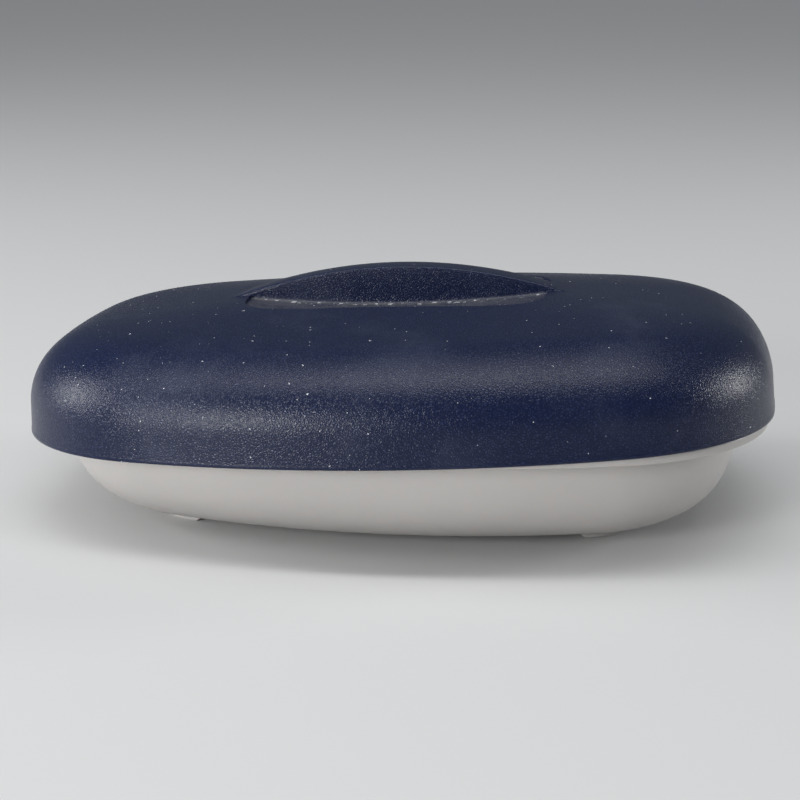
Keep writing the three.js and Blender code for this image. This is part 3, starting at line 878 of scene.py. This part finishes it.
class Shader:
    """A Principled material and a short way to add nodes to it."""

    def __init__(self, name):
        self.material = bpy.data.materials.new(name)
        self.material.use_nodes = True
        self.tree = self.material.node_tree
        self.bsdf = self.tree.nodes["Principled BSDF"]
        self.place = self.add("ShaderNodeTexCoord").outputs["Object"]

    def add(self, kind, inputs=None, **settings):
        node = self.tree.nodes.new(kind)
        for key, value in settings.items():
            setattr(node, key, value)
        for key, value in (inputs or {}).items():
            self.put(node.inputs[key], value)
        return node

    def put(self, socket, value):
        if isinstance(value, bpy.types.NodeSocket):
            self.tree.links.new(value, socket)
        else:
            socket.default_value = value

    def set(self, **values):
        for key, value in values.items():
            self.put(self.bsdf.inputs[key.replace("_", " ")], value)

    def noise(self, scale, detail=2.0, roughness=0.5, vector=None):
        inputs = {"Vector": vector or self.place, "Scale": scale, "Detail": detail, "Roughness": roughness}
        return self.add("ShaderNodeTexNoise", inputs)

    def cells(self, scale, feature, vector=None):
        inputs = {"Vector": vector or self.place, "Scale": scale}
        return self.add("ShaderNodeTexVoronoi", inputs, feature=feature)

    def math(self, operation, a, b=0.0):
        return self.add("ShaderNodeMath", {0: a, 1: b}, operation=operation).outputs[0]

    def span(self, value, low, high, to_low=0.0, to_high=1.0, kind="SMOOTHSTEP"):
        inputs = {"Value": value, "From Min": low, "From Max": high, "To Min": to_low, "To Max": to_high}
        return self.add("ShaderNodeMapRange", inputs, interpolation_type=kind).outputs[0]

    def mix(self, share, one, two):
        node = self.add("ShaderNodeMix", data_type="RGBA")
        self.put(node.inputs["Factor"], share)
        self.put(node.inputs["A"], one)
        self.put(node.inputs["B"], two)
        return node.outputs["Result"]

    def bump(self, height, strength, distance, normal=None):
        inputs = {"Height": height, "Strength": strength, "Distance": distance}
        if normal:
            inputs["Normal"] = normal
        return self.add("ShaderNodeBump", inputs).outputs["Normal"]

    def warped(self, scale, amount):
        wobble = self.noise(scale, 1.0).outputs["Color"]
        shifted = self.add("ShaderNodeVectorMath", {0: wobble, 1: (0.5, 0.5, 0.5)}, operation="SUBTRACT")
        scaled = self.add("ShaderNodeVectorMath", {0: shifted.outputs[0], "Scale": amount}, operation="SCALE")
        return self.add("ShaderNodeVectorMath", {0: self.place, 1: scaled.outputs[0]}).outputs[0]

    def specks(self, scale, size, share):
        """Sparse dots, 1 inside a dot: one in each chosen cell, of a random size."""
        cell = self.cells(scale, "F1", self.warped(900, 0.0012))
        draw = self.add("ShaderNodeSeparateColor", {"Color": cell.outputs["Color"]})
        chosen = self.math("LESS_THAN", draw.outputs[0], share)
        reach = self.math("MULTIPLY", draw.outputs[1], size * scale)
        inside = self.math("LESS_THAN", cell.outputs["Distance"], reach)
        return self.math("MULTIPLY", inside, chosen)


def navy():
    """Moulded navy plastic with a fine grain, painted shade in its hollows, a dusty film in the scoops and
    loose dust.
    """
    grain_shade_colour = (0.0046, 0.009, 0.035, 1)
    land_colour = (0.0105, 0.019, 0.066, 1)
    smear_colour = (0.045, 0.055, 0.095, 1)
    film_colour = (0.17, 0.17, 0.175, 1)
    dust_colour = (0.65, 0.66, 0.69, 1)
    coarse_scale = 1350
    fine_scale = 2300
    grain_depth = 0.00005
    s = Shader("navy_grained_plastic")
    plain = s.add("ShaderNodeAttribute", attribute_name="plain").outputs["Fac"]
    dusty = s.add("ShaderNodeAttribute", attribute_name="dusty").outputs["Fac"]

    # Grain: small bumps in two sizes with a little noise, left out where the plastic is plain.
    grained = s.math("SUBTRACT", 1.0, plain)
    vector = s.warped(650, 0.0009)
    coarse = s.span(s.cells(coarse_scale, "DISTANCE_TO_EDGE", vector).outputs["Distance"], 0.0, 0.4)
    fine = s.span(s.cells(fine_scale, "DISTANCE_TO_EDGE", vector).outputs["Distance"], 0.0, 0.3)
    rough_noise = s.noise(3600, 3.0, 0.6, vector).outputs["Fac"]
    height = s.math("ADD", s.math("MULTIPLY", coarse, 0.9), s.math("MULTIPLY", fine, 0.2))
    height = s.math("ADD", height, s.math("MULTIPLY", rough_noise, 0.12))
    grain = s.bump(s.math("MULTIPLY", height, grained), 1.0, grain_depth)
    s.set(Normal=s.bump(s.noise(45, 2.0).outputs["Fac"], 0.15, 0.0004, grain))

    # Colour: painted shade between the bumps, with pale smears and a film of dust in the scoops.
    clouds = s.noise(26, 5.0, 0.62).outputs["Fac"]
    smear = s.span(clouds, 0.5, 0.72)
    # Painted shade: the grain's hollows are coloured a darker navy than its tops.
    tone = s.mix(s.span(height, 0.35, 1.1), grain_shade_colour, land_colour)
    tone = s.mix(s.math("MULTIPLY", smear, 0.3), tone, smear_colour)
    patches = s.noise(120, 4.0, 0.6).outputs["Fac"]
    film = s.math("MULTIPLY", dusty, s.span(patches, 0.35, 0.62, 0.4, 0.75))
    tone = s.mix(film, tone, film_colour)

    # Loose dust, and crumbs where the film is thickest.
    crumbs = s.math("MULTIPLY", s.specks(480, 0.00085, 1.0), s.span(dusty, 0.5, 0.9))
    dust = s.math("MAXIMUM", s.specks(150, 0.0003, 0.5), s.specks(400, 0.00025, 0.5))
    dust = s.math("MAXIMUM", dust, crumbs)
    s.set(Base_Color=s.mix(s.math("MULTIPLY", dust, 0.85), tone, dust_colour))

    # Gloss: dust is dull, plain plastic is smoother, and the hollows of the grain reflect less.
    rough = s.math("ADD", s.span(clouds, 0.3, 0.75, 0.27, 0.36, "LINEAR"), s.math("MULTIPLY", plain, -0.1))
    s.set(Roughness=s.math("MAXIMUM", rough, s.math("MULTIPLY", dust, 0.8)))
    s.set(IOR=1.5, Specular_IOR_Level=s.span(height, 0.3, 1.05, 0.29, 0.47, "LINEAR"))
    return s.material


def off_white(name, tint, roughness):
    """Satin plastic of a pale tint, a little uneven, with some grey dust."""
    s = Shader(name)
    dust_colour = (0.2, 0.19, 0.18, 1)
    broad = s.noise(14, 3.0).outputs["Fac"]
    darker = tuple(c * 0.95 for c in tint[:3]) + (1,)
    tone = s.mix(s.span(broad, 0.3, 0.7), darker, tint)
    dust = s.specks(110, 0.00028, 0.2)
    s.set(Base_Color=s.mix(s.math("MULTIPLY", dust, 0.5), tone, dust_colour))
    wear = s.noise(60, 4.0).outputs["Fac"]
    s.set(Roughness=s.span(wear, 0.3, 0.7, roughness - 0.04, roughness + 0.05, "LINEAR"))
    ripple = s.bump(s.noise(220, 2.0).outputs["Fac"], 0.12, 0.00015)
    s.set(Normal=s.bump(s.noise(2400, 2.0).outputs["Fac"], 0.12, 0.00003, ripple))
    s.set(IOR=1.5)
    s.set(Subsurface_Weight=0.08, Subsurface_Scale=0.004)
    return s.material


def milky():
    s = Shader("milky_soft_plastic")
    clouds = s.noise(18, 3.0).outputs["Fac"]
    tone = s.mix(s.span(clouds, 0.3, 0.7), (0.6, 0.63, 0.64, 1), (0.7, 0.72, 0.72, 1))
    s.set(Base_Color=tone, Transmission_Weight=0.12, IOR=1.46)
    s.set(Roughness=s.span(s.noise(90, 4.0).outputs["Fac"], 0.3, 0.7, 0.4, 0.5, "LINEAR"))
    s.set(Normal=s.bump(s.noise(1500, 2.0).outputs["Fac"], 0.2, 0.00005))
    return s.material


def silicone():
    s = Shader("grey_silicone")
    clouds = s.noise(40, 3.0).outputs["Fac"]
    tone = s.mix(s.span(clouds, 0.3, 0.7), (0.12, 0.145, 0.17, 1), (0.16, 0.185, 0.21, 1))
    s.set(Base_Color=tone, IOR=1.42)
    s.set(Roughness=s.span(s.noise(300, 3.0).outputs["Fac"], 0.3, 0.7, 0.55, 0.66, "LINEAR"))
    s.set(Normal=s.bump(s.noise(2000, 3.0).outputs["Fac"], 0.3, 0.00006))
    return s.material


def paint():
    finishes = {
        "lid_navy": navy(),
        "bowl_white": off_white("satin_off_white", (0.5, 0.482, 0.465, 1), 0.34),
        "divider_white": off_white("divider_off_white", (0.64, 0.63, 0.6, 1), 0.4),
        "inner_milky": milky(),
        "silicone": silicone(),
    }
    slots = {
        "lid_cover": "lid_navy",
        "bowl_shell": "bowl_white",
        "bowl_feet": "bowl_white",
        "divider_long_wall": "divider_white",
        "divider_cross_left_wall": "divider_white",
        "divider_cross_right_wall": "divider_white",
        "inner_lid_panel": "inner_milky",
        "seal_band": "silicone",
        "vent_stopper": "silicone",
    }
    for piece, slot in slots.items():
        bpy.data.objects[piece].data.materials.append(finishes[slot])


# ---------------------------------------------------------------- studio


# Sizes and places in metres, turns in degrees.
FLOOR_REACH = 6.0
FLOOR_COLOUR = (0.66, 0.66, 0.66, 1)
SKY_COLOUR = (0.85, 0.93, 1.0, 1)
SKY_STRENGTH = 0.15
CAMERA_LENS = 86.49
CAMERA_PLACE = (0.07929, -0.58359, 0.18491)
CAMERA_TURN = (75.3825, 0, 7.8807)
LAMP_TARGET = (0, 0, 0.03)


def studio():
    """A pale floor, a dim sky, a soft fill from above, four lamps and the camera."""
    mesh = bpy.data.meshes.new("floor")
    low = -FLOOR_REACH
    high = FLOOR_REACH
    mesh.from_pydata([(low, low, 0), (high, low, 0), (high, high, 0), (low, high, 0)], [], [(0, 1, 2, 3)])
    floor = bpy.data.objects.new("floor", mesh)
    bpy.context.scene.collection.objects.link(floor)
    s = Shader("pale_floor")
    s.set(Base_Color=FLOOR_COLOUR, Roughness=0.7, Specular_IOR_Level=0.2)
    mesh.materials.append(s.material)

    world = bpy.data.worlds.new("studio")
    world.use_nodes = True
    world.node_tree.nodes["Background"].inputs["Color"].default_value = SKY_COLOUR
    world.node_tree.nodes["Background"].inputs["Strength"].default_value = SKY_STRENGTH
    bpy.context.scene.world = world

    fill = bpy.data.lights.new("fill", "SUN")
    fill.angle = math.radians(50)
    fill.energy = 0.6
    bpy.context.scene.collection.objects.link(bpy.data.objects.new("fill", fill))
    overhead = area_light("overhead", (-0.14, -0.3, 1.27), 2.4, 9, 0.2)
    overhead.rotation_euler = (math.radians(13), math.radians(-6), 0)
    area_light("left", (-1.25, -0.05, 0.42), 0.55, 7)
    area_light("right", (1.15, 0.38, 0.32), 0.35, 4.5)
    area_light("front_left", (-0.75, -1.15, 0.36), 0.45, 11)

    data = bpy.data.cameras.new("camera")
    data.lens = CAMERA_LENS
    data.sensor_width = 36
    data.clip_start = 0.01
    camera = bpy.data.objects.new("camera", data)
    camera.location = CAMERA_PLACE
    camera.rotation_euler = [math.radians(turn) for turn in CAMERA_TURN]
    bpy.context.scene.collection.objects.link(camera)
    bpy.context.scene.camera = camera
    bpy.context.scene.view_settings.view_transform = "Standard"


def area_light(name, place, size, power, depth=None):
    """A round lamp that faces the box. One with a depth is a rectangle."""
    data = bpy.data.lights.new(name, "AREA")
    data.shape = "RECTANGLE" if depth else "DISK"
    data.size = size
    if depth:
        data.size_y = depth
    data.energy = power
    light = bpy.data.objects.new(name, data)
    light.location = place
    light.rotation_euler = (Vector(LAMP_TARGET) - Vector(place)).to_track_quat("-Z", "Y").to_euler()
    bpy.context.scene.collection.objects.link(light)
    return light


base_bowl()
bowl_feet()
dividers()
inner_lid()
seal_ring()
vent_plug()
outer_lid()
paint()
studio()
